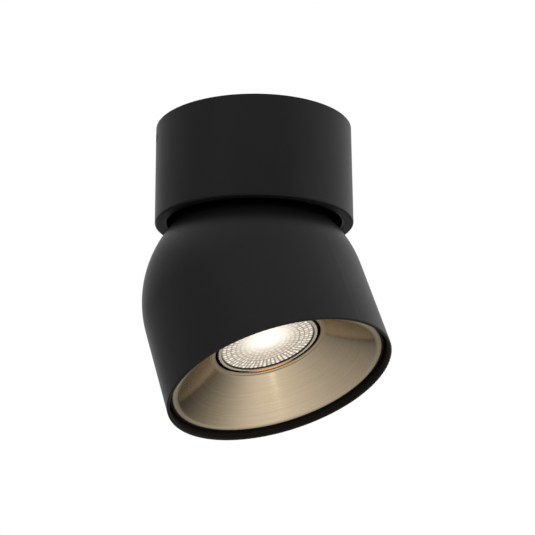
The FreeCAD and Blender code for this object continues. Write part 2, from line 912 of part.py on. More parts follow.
def lamp_frame():
    """Strip bent round the lamp: a bridge for the lampholder, legs for the tilt screws, welded feet."""
    half_width = frame_width / 2
    leg_top = math.sqrt(frame_reach**2 - frame_leg_v**2 - half_width**2)
    bridge_v = math.sqrt(frame_reach**2 - bridge_top_w**2 - half_width**2)
    foot_low = -frame_foot_drop - frame_t
    right = [(frame_leg_v, foot_low), (frame_leg_v, leg_top), (bridge_v, bridge_top_w)]
    path = right + [(-v, w) for v, w in reversed(right)]
    strip = extruded(strip_corners(path, frame_t, frame_bend), frame_width)
    strip = turned_about_z(strip, 90)
    inside = rod(2 * shade_in_r, skirt_top_w, 0)
    tab_ring = inside.cut(rod(2 * (shade_in_r - frame_t), skirt_top_w - 1, 1))
    feet = []
    for side in (0, 180):
        foot = block(-half_width, half_width, frame_leg_v - frame_t, FAR, foot_low, -frame_foot_drop)
        tab = block(-half_width, half_width, 0, FAR, skirt_top_w, -frame_foot_drop)
        feet.append(turned_about_z(foot.common(inside).fuse(tab.common(tab_ring)), side))
    holes = [Part.makeCylinder(tilt_screw_d / 2, 2 * FAR, vec(0, -FAR, 0), ALONG_Y)]
    for side in (-1, 1):
        y = side * holder_screw_pitch / 2
        holes.append(rod(holder_screw_d, bridge_low_w - 1, bridge_top_w + 1, 0, y))
    return strip.fuse(feet).cut(holes).removeSplitter()


def tilt_friction_washers():
    """Fibre washers between the frame's legs and the yoke's ears."""
    inner = frame_leg_v
    ring = washer(friction_washer_d, tilt_screw_d, inner, inner + friction_washer_t)
    return both_sides(laid_along_y(ring))


def tilt_springs():
    """Disc springs under the heads of the tilt screws."""
    spring = disc_spring(
        tilt_spring_d, tilt_screw_d + 2 * running_gap, yoke_leg_v, tilt_spring_t, tilt_spring_rise
    )
    return both_sides(laid_along_y(spring))


def tilt_screws():
    """Button-head screws through the ears and the legs."""
    seat = yoke_leg_v + tilt_spring_t + tilt_spring_rise
    inner = frame_leg_v - frame_t - tilt_nut_h - tilt_screw_over
    top = seat + tilt_head_h
    head_r = tilt_head_d / 2
    head = turned([(0, seat, 0), (head_r, seat, 0), (head_r, top, tilt_head_crown_r), (0, top, 0)])
    socket = hexagon(tilt_socket_flats, top - tilt_socket_depth, top + 1)
    screw = head.fuse(rod(tilt_screw_d - 2 * thread_gap, inner, seat)).cut(socket).removeSplitter()
    return both_sides(laid_along_y(screw))


def tilt_nuts():
    outer = frame_leg_v - frame_t
    return both_sides(laid_along_y(nut(tilt_nut_flats, tilt_screw_d, outer - tilt_nut_h, outer)))


# ---- Lampholder ----


def arc_slot(half_width, low, high):
    """Path that a pin of this half width sweeps from locked, at +Y, to released."""
    middle_r = pin_pitch / 2
    outer = Part.makeCylinder(middle_r + half_width, high - low, vec(0, 0, low), UP, lock_turn)
    inner = rod(2 * (middle_r - half_width), low - 1, high + 1)
    sweep = turned_about_z(outer.cut(inner), 90 - lock_turn)
    locked = rod(2 * half_width, low, high, 0, middle_r)
    released = turned_about_z(locked, -lock_turn)
    return sweep.fuse([locked, released])


def contact_strip():
    """One contact, which lies over its pin and reaches the lead's side."""
    low = holder_low_w + pin_length + pin_gap
    half = contact_width / 2
    middle = pin_pitch / 2
    return block(-half, contact_length - half, middle - half, middle + half, low, low + contact_t)


def lampholder():
    """Ceramic block with a curved slot for each pin, narrow at its face so that a turned pin is held."""
    half_l = holder_length / 2
    half_w = holder_width / 2
    top = bridge_low_w
    body = block(-half_w, half_w, -half_l, half_l, holder_low_w, top)
    upright = [edge for edge in body.Edges if abs(edge.tangentAt(edge.FirstParameter).z) > 0.99]
    body = body.makeFillet(min(holder_corner_r, half_w * 0.6), upright)
    cavity_low = holder_low_w + holder_front_t
    cavity_top = holder_low_w + pin_length + pin_gap
    wide = pin_head_d / 2 + pin_gap
    narrow = pin_neck_d / 2 + pin_gap
    cuts = []
    for turn in (0, 180):
        entry = turned_about_z(rod(2 * wide, holder_low_w - 1, cavity_top, 0, pin_pitch / 2), -lock_turn)
        cuts.append(turned_about_z(arc_slot(wide, cavity_low, cavity_top), turn))
        cuts.append(turned_about_z(arc_slot(narrow, holder_low_w - 1, cavity_top), turn))
        cuts.append(turned_about_z(entry, turn))
    for side in (-1, 1):
        y = side * holder_screw_pitch / 2
        cuts.append(rod(holder_screw_d, holder_low_w - 1, top + 1, 0, y))
        counterbore_d = holder_head_d + 2 * holder_head_gap
        cuts.append(rod(counterbore_d, holder_low_w - 1, holder_low_w + holder_counterbore, 0, y))
        cuts.append(holder_lead_bore(side))
    cuts.extend(lampholder_contacts())
    return body.cut(cuts)


def lampholder_contacts():
    """Brass strips over the ends of the pins."""
    strip = contact_strip()
    return [strip, strip.mirror(ORIGIN, ALONG_Y)]


def lampholder_screws():
    """Screws up through the holder into the bridge."""
    seat = holder_low_w + holder_counterbore
    head = slotted_head(holder_head_d, 0, holder_head_h)
    head.rotate(ORIGIN, ALONG_X, 180)
    head.translate(vec(0, 0, seat))
    screw = head.fuse(rod(holder_screw_d - 2 * thread_gap, seat, bridge_top_w)).removeSplitter()
    screws = []
    for side in (-1, 1):
        copy = screw.copy()
        copy.translate(vec(0, side * holder_screw_pitch / 2, 0))
        screws.append(copy)
    return screws


def holder_lead_w():
    return holder_low_w + pin_length + pin_gap + contact_t + lead_d / 2


def holder_lead_bore(side):
    """Hole in the holder's side for one lead, which ends over its contact."""
    y = side * lead_spacing / 2
    start = holder_width / 2 - contact_width
    return Part.makeCylinder(lead_d / 2, FAR, vec(start, y, holder_lead_w()), ALONG_X)


def holder_leads():
    """Two short leads from the nipple's mouth, past the bridge's edge, into the holder's side."""
    leads = []
    tilt = math.radians(rest_tilt)
    top_r = bush_low_w - lead_end_gap
    inner_x = holder_width / 2 - contact_width
    side_w = holder_lead_w()
    run_x = frame_width / 2 + lead_d / 2 + lead_bend
    for side in (-1, 1):
        y = side * lead_spacing / 2
        leads.append(
            lead(
                [
                    vec(top_r * math.sin(tilt), y, top_r * math.cos(tilt)),
                    vec(run_x, y, side_w),
                    vec(inner_x, y, side_w),
                ],
                lead_bend,
            )
        )
    return leads


# ---- Lamp ----


def lamp_housing():
    """White shell from the bezel back to the base, with a seat for the lens and one for the LED board."""
    bezel_top = bezel_w + bezel_h
    waist_w = lens_w + housing_waist_h
    lens_seat_w = lens_w + lens_t
    mouth_r = housing_mouth_d / 2
    waist_in_r = housing_waist_d / 2 - housing_wall
    top_in_r = housing_top_d / 2 - housing_wall
    return turned(
        [
            (lamp_r - bezel_width, bezel_w, lens_edge_r),
            (lamp_r, bezel_w, bezel_edge_r),
            (lamp_r, bezel_top, 1.0),
            (housing_waist_d / 2, waist_w, 8.0),
            (housing_top_d / 2, base_low_w, 0),
            (top_in_r, base_low_w, 0),
            (waist_in_r - 1.0, waist_w, 0),
            (waist_in_r - 1.0, board_w, 0),
            (mouth_r, board_w, 0),
            (mouth_r, lens_seat_w, 0),
            (lamp_r - bezel_width, lens_seat_w, 0),
        ]
    )


def lamp_lens():
    """Clear disc in the bezel."""
    lens_back_w = lens_w + lens_t
    corners = [(0, lens_w, 0), (lens_r, lens_w, lens_edge_r), (lens_r, lens_back_w, 0), (0, lens_back_w, 0)]
    return turned(corners)


def led_board():
    return rod(housing_mouth_d - 2 * board_gap, board_w - board_t, board_w)


def led_chip():
    low = board_w - board_t - chip_h
    return rod(chip_d, low, board_w - board_t)


def lamp_driver():
    """Small upright board with one round component on it, standing on the back of the LED board."""
    half = driver_length / 2
    board = block(-driver_board_t / 2, driver_board_t / 2, -half, half, board_w, board_w + driver_h)
    part_low = board_w + (driver_h - driver_part_length) / 2
    part_x = (driver_board_t + driver_part_d) / 2 - driver_part_sunk
    part = rod(driver_part_d, part_low, part_low + driver_part_length, part_x)
    return board.fuse(part).removeSplitter()


def lamp_base():
    """Plastic base: a plug in the housing, a flange and an oblong neck, bored for the pins."""
    plug_r = housing_top_d / 2 - housing_wall
    flange_top = base_low_w + base_flange_h
    plug = washer(2 * plug_r, 2 * (plug_r - 2 * housing_wall), base_low_w - base_plug_h, base_low_w)
    flange = rod(housing_top_d, base_low_w, flange_top)
    neck = rod(base_neck_d, flange_top, holder_low_w).common(
        block(-base_flats / 2, base_flats / 2, -FAR, FAR, flange_top, holder_low_w)
    )
    bores = [rod(pin_neck_d, flange_top, holder_low_w + 1, 0, side * pin_pitch / 2) for side in (-1, 1)]
    return flange.fuse([plug, neck]).cut(bores).removeSplitter()


def lamp_pins():
    """Metal pins, each with a thick head that the holder's slot keeps."""
    flange_top = base_low_w + base_flange_h
    neck_top = holder_low_w + pin_neck_h
    pin_top = holder_low_w + pin_length
    pins = []
    for side in (-1, 1):
        y = side * pin_pitch / 2
        neck = rod(pin_neck_d, flange_top, neck_top, 0, y)
        head = rod(pin_head_d, neck_top, pin_top, 0, y)
        pins.append(neck.fuse(head).removeSplitter())
    return pins


# ---- Reflector and its clips ----


def cone_back_w(radius):
    """Height of the cone's back at this radius."""
    return throat_w - (radius - crease_r) * cone_slope + cone_rise


def reflector():
    """Skirt, rounded shoulder, straight cone, crease, bead and a short collar round the lamp."""
    corner_w = throat_w - (reflector_r - crease_r) * cone_slope
    bead_w = throat_w - bead_h
    collar_r = throat_r + reflector_t
    collar_top = throat_w + collar_over
    cone = turned(
        [
            (reflector_r, skirt_top_w, 0),
            (reflector_r, corner_w, shoulder_r),
            (crease_r, throat_w, 0),
            (crease_r - crease_width, throat_w, 0),
            (throat_r + bead_width - bead_lean, bead_w, bead_outer_round),
            (throat_r, bead_w, bead_inner_round),
            (throat_r, collar_top, 0),
            (collar_r, collar_top, 0),
            (collar_r, cone_back_w(collar_r), 0),
            (skirt_in_r, cone_back_w(skirt_in_r), shoulder_r - reflector_t),
            (skirt_in_r, skirt_top_w, 0),
        ]
    )
    return cone.cut([turned_about_z(rivet_bore(), angle) for angle in clip_angles()])


def clip_angles():
    """The clips are spread evenly, with none at the frame's feet."""
    return [i * 360 / clip_count for i in range(clip_count)]


def clip_face_x():
    return math.sqrt(skirt_in_r**2 - (clip_width / 2) ** 2)


def rivet_w():
    return skirt_top_w - clip_foot_h / 2


def rivet_bore():
    """Hole through the skirt and the clip's foot, clear of the cone inside them."""
    inner = clip_face_x() - clip_t - rivet_head_h
    return Part.makeCylinder(rivet_d / 2, FAR, vec(inner, 0, rivet_w()), ALONG_X)


def reflector_clips():
    """Spring strips on the skirt's inside that lean out against the shade above it."""
    face_x = clip_face_x()
    wall_x = math.sqrt(shade_in_r**2 - (clip_width / 2) ** 2) - clip_gap
    foot_low = skirt_top_w - clip_foot_h
    lean_low = skirt_top_w + clip_t
    lean_top = lean_low + clip_lean_h
    path = [
        (face_x, foot_low),
        (face_x, lean_low),
        (wall_x, lean_top),
        (wall_x - clip_tip_back, lean_top + clip_tip_h),
    ]
    clip = extruded(strip_corners(path, clip_t, clip_t), clip_width).cut(rivet_bore())
    return [turned_about_z(clip, angle) for angle in clip_angles()]


def clip_rivets():
    """Rivets through the skirt and the clip's foot, flattened outside so that they clear the shade."""
    inner = clip_face_x() - clip_t
    head_inner = inner - rivet_head_h
    outer_head = reflector_r + rivet_flat_share * reflector_gap
    shank = rod(rivet_d, head_inner, outer_head)
    heads = [rod(rivet_head_d, head_inner, inner)]
    reach = math.sqrt(reflector_r**2 - (rivet_head_d / 2) ** 2)
    outer = rod(rivet_head_d, reach - 1, outer_head)
    rivet = shank.fuse(heads)
    rivet.rotate(ORIGIN, ALONG_Y, 90)
    rivet.translate(vec(0, 0, rivet_w()))
    outer.rotate(ORIGIN, ALONG_Y, 90)
    outer.translate(vec(0, 0, rivet_w()))
    outer = outer.cut(rod(2 * reflector_r, rivet_w() - rivet_head_d, rivet_w() + rivet_head_d))
    rivet = rivet.fuse(outer).removeSplitter()
    return [turned_about_z(rivet, angle) for angle in clip_angles()]


# ---- Every piece, body by body ----

os.makedirs("parts", exist_ok=True)

save("canopy", [canopy()], on_canopy)
save("ceiling_bracket", [ceiling_bracket()], on_canopy)
save("canopy_side_screws", canopy_side_screws(), on_canopy)
save("carrier_plate", [carrier_plate()], on_canopy)
save("pan_stop_pin", [pan_stop_pin()], on_canopy)
save("terminal_block", [terminal_block()], on_canopy)
save("terminal_clamps", terminal_clamps(), on_canopy)
save("terminal_screws", terminal_screws(), on_canopy)
save("terminal_fixing_screws", terminal_fixing_screws(), on_canopy)
save("earth_tag", [earth_tag()], on_canopy)
save("earth_washer", [earth_washer()], on_canopy)
save("earth_screw", [earth_screw()], on_canopy)
save("earth_lead", [earth_lead()], on_canopy)
save("live_lead", [supply_lead(0, -1)], on_canopy)
save("neutral_lead", [supply_lead(1, 1)], on_canopy)

save("pan_nipple", [pan_nipple()], on_pan)
save("pan_collar", [pan_collar()], on_pan)
save("lower_slip_washer", [slip_washer(collar_top_w)], on_pan)
save("upper_slip_washer", [slip_washer(plate_top_w)], on_pan)
save("stop_washer", [stop_washer()], on_pan)
pan_spring = disc_spring(collar_d, nipple_d, stop_top_w, disc_spring_t, disc_spring_rise)
save("pan_disc_spring", [pan_spring], on_pan)
save("pan_nut", [nut(nut_flats, nipple_d, spring_top_w, pan_nut_top_w)], on_pan)
save("yoke", [yoke()], on_pan)
save("yoke_upper_nut", [nut(nut_flats, nipple_d, yoke_top_w, yoke_top_w + yoke_upper_nut_h)], on_pan)
save("yoke_lower_nut", [nut(nut_flats, nipple_d, yoke_low_w - yoke_lower_nut_h, yoke_low_w)], on_pan)
save("nipple_bush", [nipple_bush()], on_pan)

save("shade", [shade()], on_head)
save("lamp_frame", [lamp_frame()], on_head)
save("tilt_friction_washers", tilt_friction_washers(), on_head)
save("tilt_springs", tilt_springs(), on_head)
save("tilt_screws", tilt_screws(), on_head)
save("tilt_nuts", tilt_nuts(), on_head)
save("lampholder", [lampholder()], on_head)
save("lampholder_contacts", lampholder_contacts(), on_head)
save("lampholder_screws", lampholder_screws(), on_head)
save("holder_leads", holder_leads(), on_head)
save("reflector", [reflector()], on_head)
save("reflector_clips", reflector_clips(), on_head)
save("clip_rivets", clip_rivets(), on_head)

save("lamp_housing", [lamp_housing()], on_head)
save("lamp_lens", [lamp_lens()], on_head)
save("led_board", [led_board()], on_head)
save("led_chip", [led_chip()], on_head)
save("lamp_driver", [lamp_driver()], on_head)
save("lamp_base", [lamp_base()], on_head)
save("lamp_pins", lamp_pins(), on_head)

print(f"canopy {2 * canopy_r:.2f} across, {canopy_h:.2f} high; pivot {pivot_drop:.2f} below the ceiling")
cone_degrees = math.degrees(cone_angle())
print(f"lens face {lens_w - mouth_z:.2f} inside the mouth; cone at {cone_degrees:.2f} degrees")
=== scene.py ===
import json
import math

import bmesh
import bpy
import numpy as np
from mathutils import Matrix, Vector


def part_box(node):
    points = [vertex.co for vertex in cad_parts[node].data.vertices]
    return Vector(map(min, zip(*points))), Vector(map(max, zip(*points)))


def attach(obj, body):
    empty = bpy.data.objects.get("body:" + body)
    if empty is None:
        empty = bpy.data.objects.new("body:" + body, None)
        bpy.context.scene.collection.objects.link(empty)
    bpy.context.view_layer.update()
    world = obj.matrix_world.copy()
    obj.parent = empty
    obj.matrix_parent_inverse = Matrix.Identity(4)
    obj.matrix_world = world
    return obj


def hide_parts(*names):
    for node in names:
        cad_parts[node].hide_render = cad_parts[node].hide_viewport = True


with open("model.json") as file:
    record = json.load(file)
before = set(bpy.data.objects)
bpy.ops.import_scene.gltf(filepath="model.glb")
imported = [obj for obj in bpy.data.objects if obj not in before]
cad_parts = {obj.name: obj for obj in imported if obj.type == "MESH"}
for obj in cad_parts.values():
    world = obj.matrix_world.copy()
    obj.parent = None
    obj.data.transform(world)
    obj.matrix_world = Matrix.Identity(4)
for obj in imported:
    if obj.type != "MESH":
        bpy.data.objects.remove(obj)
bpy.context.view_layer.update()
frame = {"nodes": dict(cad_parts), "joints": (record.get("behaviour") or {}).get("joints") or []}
MM = 0.001


# ---- Camera ----
# The photo looks up at the light from a little below it and to the left of the ceiling bracket's front.
# The place, turn and lens come from fitting the canopy's and the shade's outlines in the photo.
camera_target = Vector((6.28, -1.36, -71.37)) * MM
camera_distance = 641.9 * MM
camera_azimuth = math.radians(-11.94)
camera_elevation = math.radians(-15.43)
camera_roll = math.radians(-0.457)
photo_width_px = 535
focal_length_px = 1304

camera = bpy.data.objects.new("camera", bpy.data.cameras.new("camera"))
bpy.context.scene.collection.objects.link(camera)
camera.data.sensor_width = 36.0
camera.data.lens = camera.data.sensor_width * focal_length_px / photo_width_px
camera.data.clip_start = 0.01
backward = Vector(
    (
        math.sin(camera_azimuth) * math.cos(camera_elevation),
        -math.cos(camera_azimuth) * math.cos(camera_elevation),
        math.sin(camera_elevation),
    )
)
level_right = Vector((0, 0, 1)).cross(backward).normalized()
level_up = backward.cross(level_right)
camera_right = level_right * math.cos(camera_roll) + level_up * math.sin(camera_roll)
camera_up = backward.cross(camera_right)
camera.matrix_world = Matrix.Translation(camera_target + backward * camera_distance) @ Matrix(
    (camera_right, camera_up, backward)
).transposed().to_4x4()
bpy.context.scene.camera = camera


# ---- Studio ----
# A white room with a pale floor well below and soft boxes round the object. Cards that the camera
# doesn't see shape what its coat and cone reflect. A dark disc inside the canopy, at its carrier
# plate, keeps light from above out of the gap over the shade, as the ceiling would.
floor_drop = 0.85
floor_size = 6.0
ambient = 0.45  # the surround's light on the object; where it is seen it is 1, plain white


class Wire:
    """A node's output that can be added, multiplied and compared; each operation adds a Math node."""

    def __init__(self, finish, socket):
        self.finish = finish
        self.socket = socket

    def maths(self, operation, first, second=0.0):
        return self.finish.node("Math", {"operation": operation}, {0: first, 1: second})

    def __add__(self, other):
        return self.maths("ADD", self, other)

    def __radd__(self, other):
        return self.maths("ADD", other, self)

    def __sub__(self, other):
        return self.maths("SUBTRACT", self, other)

    def __rsub__(self, other):
        return self.maths("SUBTRACT", other, self)

    def __mul__(self, other):
        return self.maths("MULTIPLY", self, other)

    def __rmul__(self, other):
        return self.maths("MULTIPLY", other, self)

    def __truediv__(self, other):
        return self.maths("DIVIDE", self, other)

    def __rtruediv__(self, other):
        return self.maths("DIVIDE", other, self)

    def __gt__(self, other):
        return self.maths("GREATER_THAN", self, other)

    def __lt__(self, other):
        return self.maths("LESS_THAN", self, other)

    def power(self, exponent):
        return self.maths("POWER", self, exponent)

    def clipped(self):
        return self.finish.node("Clamp", {}, {"Value": self})


class Finish:
    """A node tree being filled: node() adds any node, and surface() sets the shader's sockets."""

    def __init__(self, name, owner=None):
        self.owner = owner or bpy.data.materials.new(name)
        self.owner.use_nodes = True
        self.tree = self.owner.node_tree
        self.tree.nodes.clear()

    def node(self, kind, settings=None, inputs=None, output=0):
        made = self.tree.nodes.new("ShaderNode" + kind)
        for key, value in (settings or {}).items():
            if key == "stops":
                self.set_stops(made.color_ramp, value)
            else:
                setattr(made, key, value)
        for key, value in (inputs or {}).items():
            self.feed(self.find(made.inputs, key), value)
        return Wire(self, self.find(made.outputs, output)) if made.outputs else None

    @staticmethod
    def find(sockets, key):
        if isinstance(key, int):
            return sockets[key]
        named = [s for s in sockets if s.identifier == key] or [s for s in sockets if s.name == key]
        return named[0]

    def feed(self, socket, value):
        if isinstance(value, Wire):
            self.tree.links.new(value.socket, socket)
        elif socket.type == "RGBA":
            socket.default_value = (*value[:3], 1.0)
        else:
            socket.default_value = value

    @staticmethod
    def set_stops(ramp, stops):
        """stops is a list of (place, colour); a ramp starts with two."""
        while len(ramp.elements) < len(stops):
            ramp.elements.new(0.5)
        for element, (place, colour) in zip(ramp.elements, stops):
            element.position = place
            element.color = (*colour, 1.0)

    def place(self):
        return self.node("TexCoord", output="Object")

    def noise(self, scale, detail=2.0, vector=None, roughness=0.5):
        """Noise about 0.5; scale is in cycles per metre on Object coordinates."""
        vector = vector or self.place()
        return self.node(
            "TexNoise", {}, {"Vector": vector, "Scale": scale, "Detail": detail, "Roughness": roughness}
        )

    def mix(self, factor, first, second):
        return self.node(
            "Mix",
            {"data_type": "RGBA"},
            {"Factor_Float": factor, "A_Color": first, "B_Color": second},
            output="Result_Color",
        )

    def bump(self, height, distance, strength=1.0):
        return self.node("Bump", {}, {"Height": height, "Distance": distance, "Strength": strength})

    def surface(self, **sockets):
        """The Principled shader, its sockets named with underscores for spaces."""
        values = {key.replace("_", " "): value for key, value in sockets.items()}
        shader = self.node("BsdfPrincipled", {}, values)
        self.node("OutputMaterial", {}, {"Surface": shader})
        return self.owner


world = bpy.data.worlds.new("white_room")
bpy.context.scene.world = world
surround = Finish("white_room", world)
ray = surround.node("LightPath", output="Is Camera Ray")
ray_node = ray.socket.node
shown = ray
for kind in ("Is Glossy Ray", "Is Transmission Ray"):
    shown = shown + Wire(surround, ray_node.outputs[kind])
brightness = shown.clipped() * (1 - ambient) + ambient
emptiness = surround.node("Background", {}, {"Color": (1, 1, 1), "Strength": brightness})
surround.node("OutputWorld", {}, {"Surface": emptiness})
bpy.context.scene.view_settings.view_transform = "Standard"


def link(thing):
    bpy.context.scene.collection.objects.link(thing)
    return thing


def soft_box(name, place, aim, width, height, watts):
    """A rectangular lamp at place that faces aim."""
    lamp = bpy.data.lights.new(name, "AREA")
    lamp.shape = "RECTANGLE"
    lamp.size = width
    lamp.size_y = height
    lamp.energy = watts
    holder = link(bpy.data.objects.new(name, lamp))
    holder.location = place
    holder.rotation_euler = (Vector(aim) - Vector(place)).to_track_quat("-Z", "Y").to_euler()
    return holder


lamp_aim = (0.0, 0.0, -0.08)
soft_boxes = [  # name, place, width, height, watts, and whether gloss and metal show it
    ("left_box", (-1.0, 0.9, -0.05), 0.25, 1.2, 0.3, True),
    ("right_box", (1.0, 0.9, -0.05), 0.35, 1.2, 3.0, False),
    ("spark", (0.11, -0.42, -0.56), 0.04, 0.04, 0.012, True),
    ("low_box", (0.2, -0.3, -0.6), 0.6, 0.6, 3.0, False),
    ("high_box", (-0.2, -1.2, 0.30), 0.9, 0.4, 5.0, False),
]
for name, place, width, height, watts, in_gloss in soft_boxes:
    soft_box(name, place, lamp_aim, width, height, watts).visible_glossy = in_gloss

floor_mesh = bpy.data.meshes.new("floor")
reach = floor_size / 2
floor_corners = [(-reach, -reach), (reach, -reach), (reach, reach), (-reach, reach)]
floor_mesh.from_pydata([(x, y, -floor_drop) for x, y in floor_corners], [], [(0, 1, 2, 3)])
floor = link(bpy.data.objects.new("floor", floor_mesh))
pale = Finish("pale_floor")
floor_speckle = pale.noise(scale=30.0)
floor_mesh.materials.append(
    pale.surface(
        Base_Color=pale.mix(floor_speckle, (0.80, 0.80, 0.80), (0.84, 0.84, 0.84)),
        Roughness=0.8,
    )
)


def dark_cloth(name):
    """Matt black, for the stage's cards."""
    return Finish(name).surface(Base_Color=(0.02, 0.02, 0.02), Roughness=1.0)


card_distance = 1.3
card_half_width = 1.1
card_low, card_high = -0.45, 0.42
card_mesh = bpy.data.meshes.new("dark_card")
card_mesh.from_pydata(
    [
        (-card_half_width, -card_distance, card_low),
        (card_half_width, -card_distance, card_low),
        (card_half_width, -card_distance, card_high),
        (-card_half_width, -card_distance, card_high),
    ],
    [],
    [(0, 1, 2, 3)],
)
card = link(bpy.data.objects.new("dark_card", card_mesh))
card.visible_camera = False
card_mesh.materials.append(dark_cloth("card_cloth"))


def glowing(finish, colour):
    """A surface that only gives off this colour."""
    return finish.surface(
        Base_Color=(0.0, 0.0, 0.0),
        Specular_IOR_Level=0.0,
        Emission_Color=colour,
        Emission_Strength=1.0,
    )


def reflected_panel(name, corners, material):
    """A stage panel that only gloss and metal show, like the pale cards round a product table."""
    mesh = bpy.data.meshes.new(name)
    mesh.from_pydata(corners, [], [(0, 1, 2, 3)])
    panel = link(bpy.data.objects.new(name, mesh))
    for kind in ("camera", "diffuse", "shadow", "transmission"):
        setattr(panel, "visible_" + kind, False)
    mesh.materials.append(material)


pool_centre = (0.20, -0.45, 0.0)
pool_width = 0.60
pool_drop = 0.60
pool = Finish("light_pool")
flat_place = pool.node("VectorMath", {"operation": "MULTIPLY"}, {0: pool.place(), 1: (1.0, 1.0, 0.0)})
away = pool.node(
    "VectorMath", {"operation": "DISTANCE"}, {0: flat_place, 1: pool_centre}, output="Value"
)
level = 1 / ((away / pool_width).power(2.0) + 1)
pool_colour = pool.mix(level, (0.0, 0.0, 0.0), (1.0, 0.97, 0.92))
pool_corners = [(x, y, -pool_drop) for x, y in floor_corners]
reflected_panel("light_pool", pool_corners, glowing(pool, pool_colour))

grey_near, grey_far = (-1.3, -1.0), (-0.7, 1.7)
grey_foot, grey_top = -0.6, 0.9
grey_rise, grey_level = 1.6, 0.6  # share of the pale colour gained per metre up, and at the ceiling
grey = Finish("grey_card")
grey_height = grey.node("SeparateXYZ", {}, {"Vector": grey.place()}, output=2)
grey_share = (grey_height * grey_rise + grey_level).clipped()
grey_colour = grey.mix(grey_share, (0.05, 0.05, 0.05), (0.62, 0.62, 0.62))
grey_corners = [
    (*grey_near, grey_foot),
    (*grey_far, grey_foot),
    (*grey_far, grey_top),
    (*grey_near, grey_top),
]
reflected_panel("grey_card", grey_corners, glowing(grey, grey_colour))

lid_gap = 2.0 * MM  # in from the canopy's outside
lid_sides = 48
plate_low, plate_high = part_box("carrier_plate")
lid_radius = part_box("canopy")[1][0] - lid_gap
lid_height = (plate_low[2] + plate_high[2]) / 2
lid_turn = np.linspace(0, 2 * math.pi, lid_sides, endpoint=False)
lid_mesh = bpy.data.meshes.new("dark_lid")
lid_mesh.from_pydata(
    [(lid_radius * math.cos(turn), lid_radius * math.sin(turn), lid_height) for turn in lid_turn],
    [],
    [tuple(range(lid_sides))],
)
lid = link(bpy.data.objects.new("dark_lid", lid_mesh))
for kind in ("camera", "shadow", "transmission"):
    setattr(lid, "visible_" + kind, False)
lid_mesh.materials.append(dark_cloth("lid_cloth"))


# ---- Canopy ----
# The drawn steel cup against the ceiling, turned in at the bottom as a narrow flat ring with a hem.
# Its satin black powder coat has a fine grain, and is a little uneven in colour and gloss.
coat_deep, coat_thin = (0.0055, 0.0058, 0.0057), (0.0080, 0.0083, 0.0081)


def black_coat(name, deep, thin):
    """Satin black powder coat: orange peel as bump, and clouds in gloss and colour."""
    coat = Finish(name)
    cloud = coat.noise(scale=55.0, detail=3.0)
    peel = coat.noise(scale=1900.0, detail=2.0)
    return coat.surface(
        Base_Color=coat.mix(cloud, deep, thin),
        Roughness=cloud * 0.08 + 0.40,
        Specular_IOR_Level=0.20,
        Normal=coat.bump(peel, distance=0.00002, strength=0.35),
    )


def dress(node, material):
    """Gives a CAD node this finish on every face."""
    slots = frame["nodes"][node].data.materials
    slots.clear()
    slots.append(material)


dress("canopy", black_coat("canopy_coat", coat_deep, coat_thin))


# ---- Shade ----
# The spun steel shell under the canopy, a cylinder closed by a dome, in the same satin black.
# Its lamp frame is welded inside, and the dome has one slot, hidden by the canopy, for the pan nipple.
dress("shade", black_coat("shade_coat", coat_deep, coat_thin))


# ---- Reflector ----
# A spun aluminium cone, brushed round and round and anodised a pale brass tone. A rounded shoulder
# turns up into the skirt that its clips hold, and the throat ends in a rolled bead round the lamp.
joints = {joint["name"]: joint for joint in frame["joints"]}
pivot = np.array(joints["tilt"]["pos_m"])
head_up = -np.array(joints["lamp_twist"]["axis"])
head_side = -np.array(joints["tilt"]["axis"])
head_lean = np.cross(head_side, head_up)
head_axes = np.array([head_lean, head_side, head_up])


def head_span(node):
    """Least and greatest radius from the lamp's axis, and least and greatest height above the pivot."""
    mesh = frame["nodes"][node].data
    flat = np.empty(len(mesh.vertices) * 3)
    mesh.vertices.foreach_get("co", flat)
    lean, side, height = ((flat.reshape(-1, 3) - pivot) @ head_axes.T).T
    radius = np.hypot(lean, side)
    return radius.min(), radius.max(), height.min(), height.max()


def rounded_outline(corners, spacing, turn_step=0.2):
    """Points (radius, height) of a closed outline with each corner (radius, height, rounding) replaced
    by its tangent arc, in steps of turn_step radians, and straight runs cut to the spacing."""
    count = len(corners)
    points = []
    for i, (radius, height, rounding) in enumerate(corners):
        here = np.array([radius, height])
        before = np.array(corners[i - 1][:2]) - here
        after = np.array(corners[(i + 1) % count][:2]) - here
        before = before / np.linalg.norm(before)
        after = after / np.linalg.norm(after)
        half = math.acos(np.clip(before @ after, -1, 1)) / 2
        if rounding <= 0:
            points.append(here[None, :])
            continue
        middle = (before + after) / np.linalg.norm(before + after)
        centre = here + middle * rounding / math.sin(half)
        start = here + before * rounding / math.tan(half) - centre
        end = here + after * rounding / math.tan(half) - centre
        steps = max(2, math.ceil((math.pi - 2 * half) / turn_step))
        share = np.linspace(0, 1, steps + 1)[:, None]
        arc = start * (1 - share) + end * share
        arc = arc / np.linalg.norm(arc, axis=1)[:, None] * rounding
        points.append(centre + arc)
    bends = np.concatenate(points)
    following = np.roll(bends, -1, axis=0)
    runs = []
    for first, last in zip(bends, following):
        cuts = max(1, math.ceil(np.linalg.norm(last - first) / spacing))
        share = np.linspace(0, 1, cuts, endpoint=False)[:, None]
        runs.append(first * (1 - share) + last * share)
    return np.concatenate(runs)


sharp_angle = math.radians(38)  # an edge between faces that turn more than this stays sharp


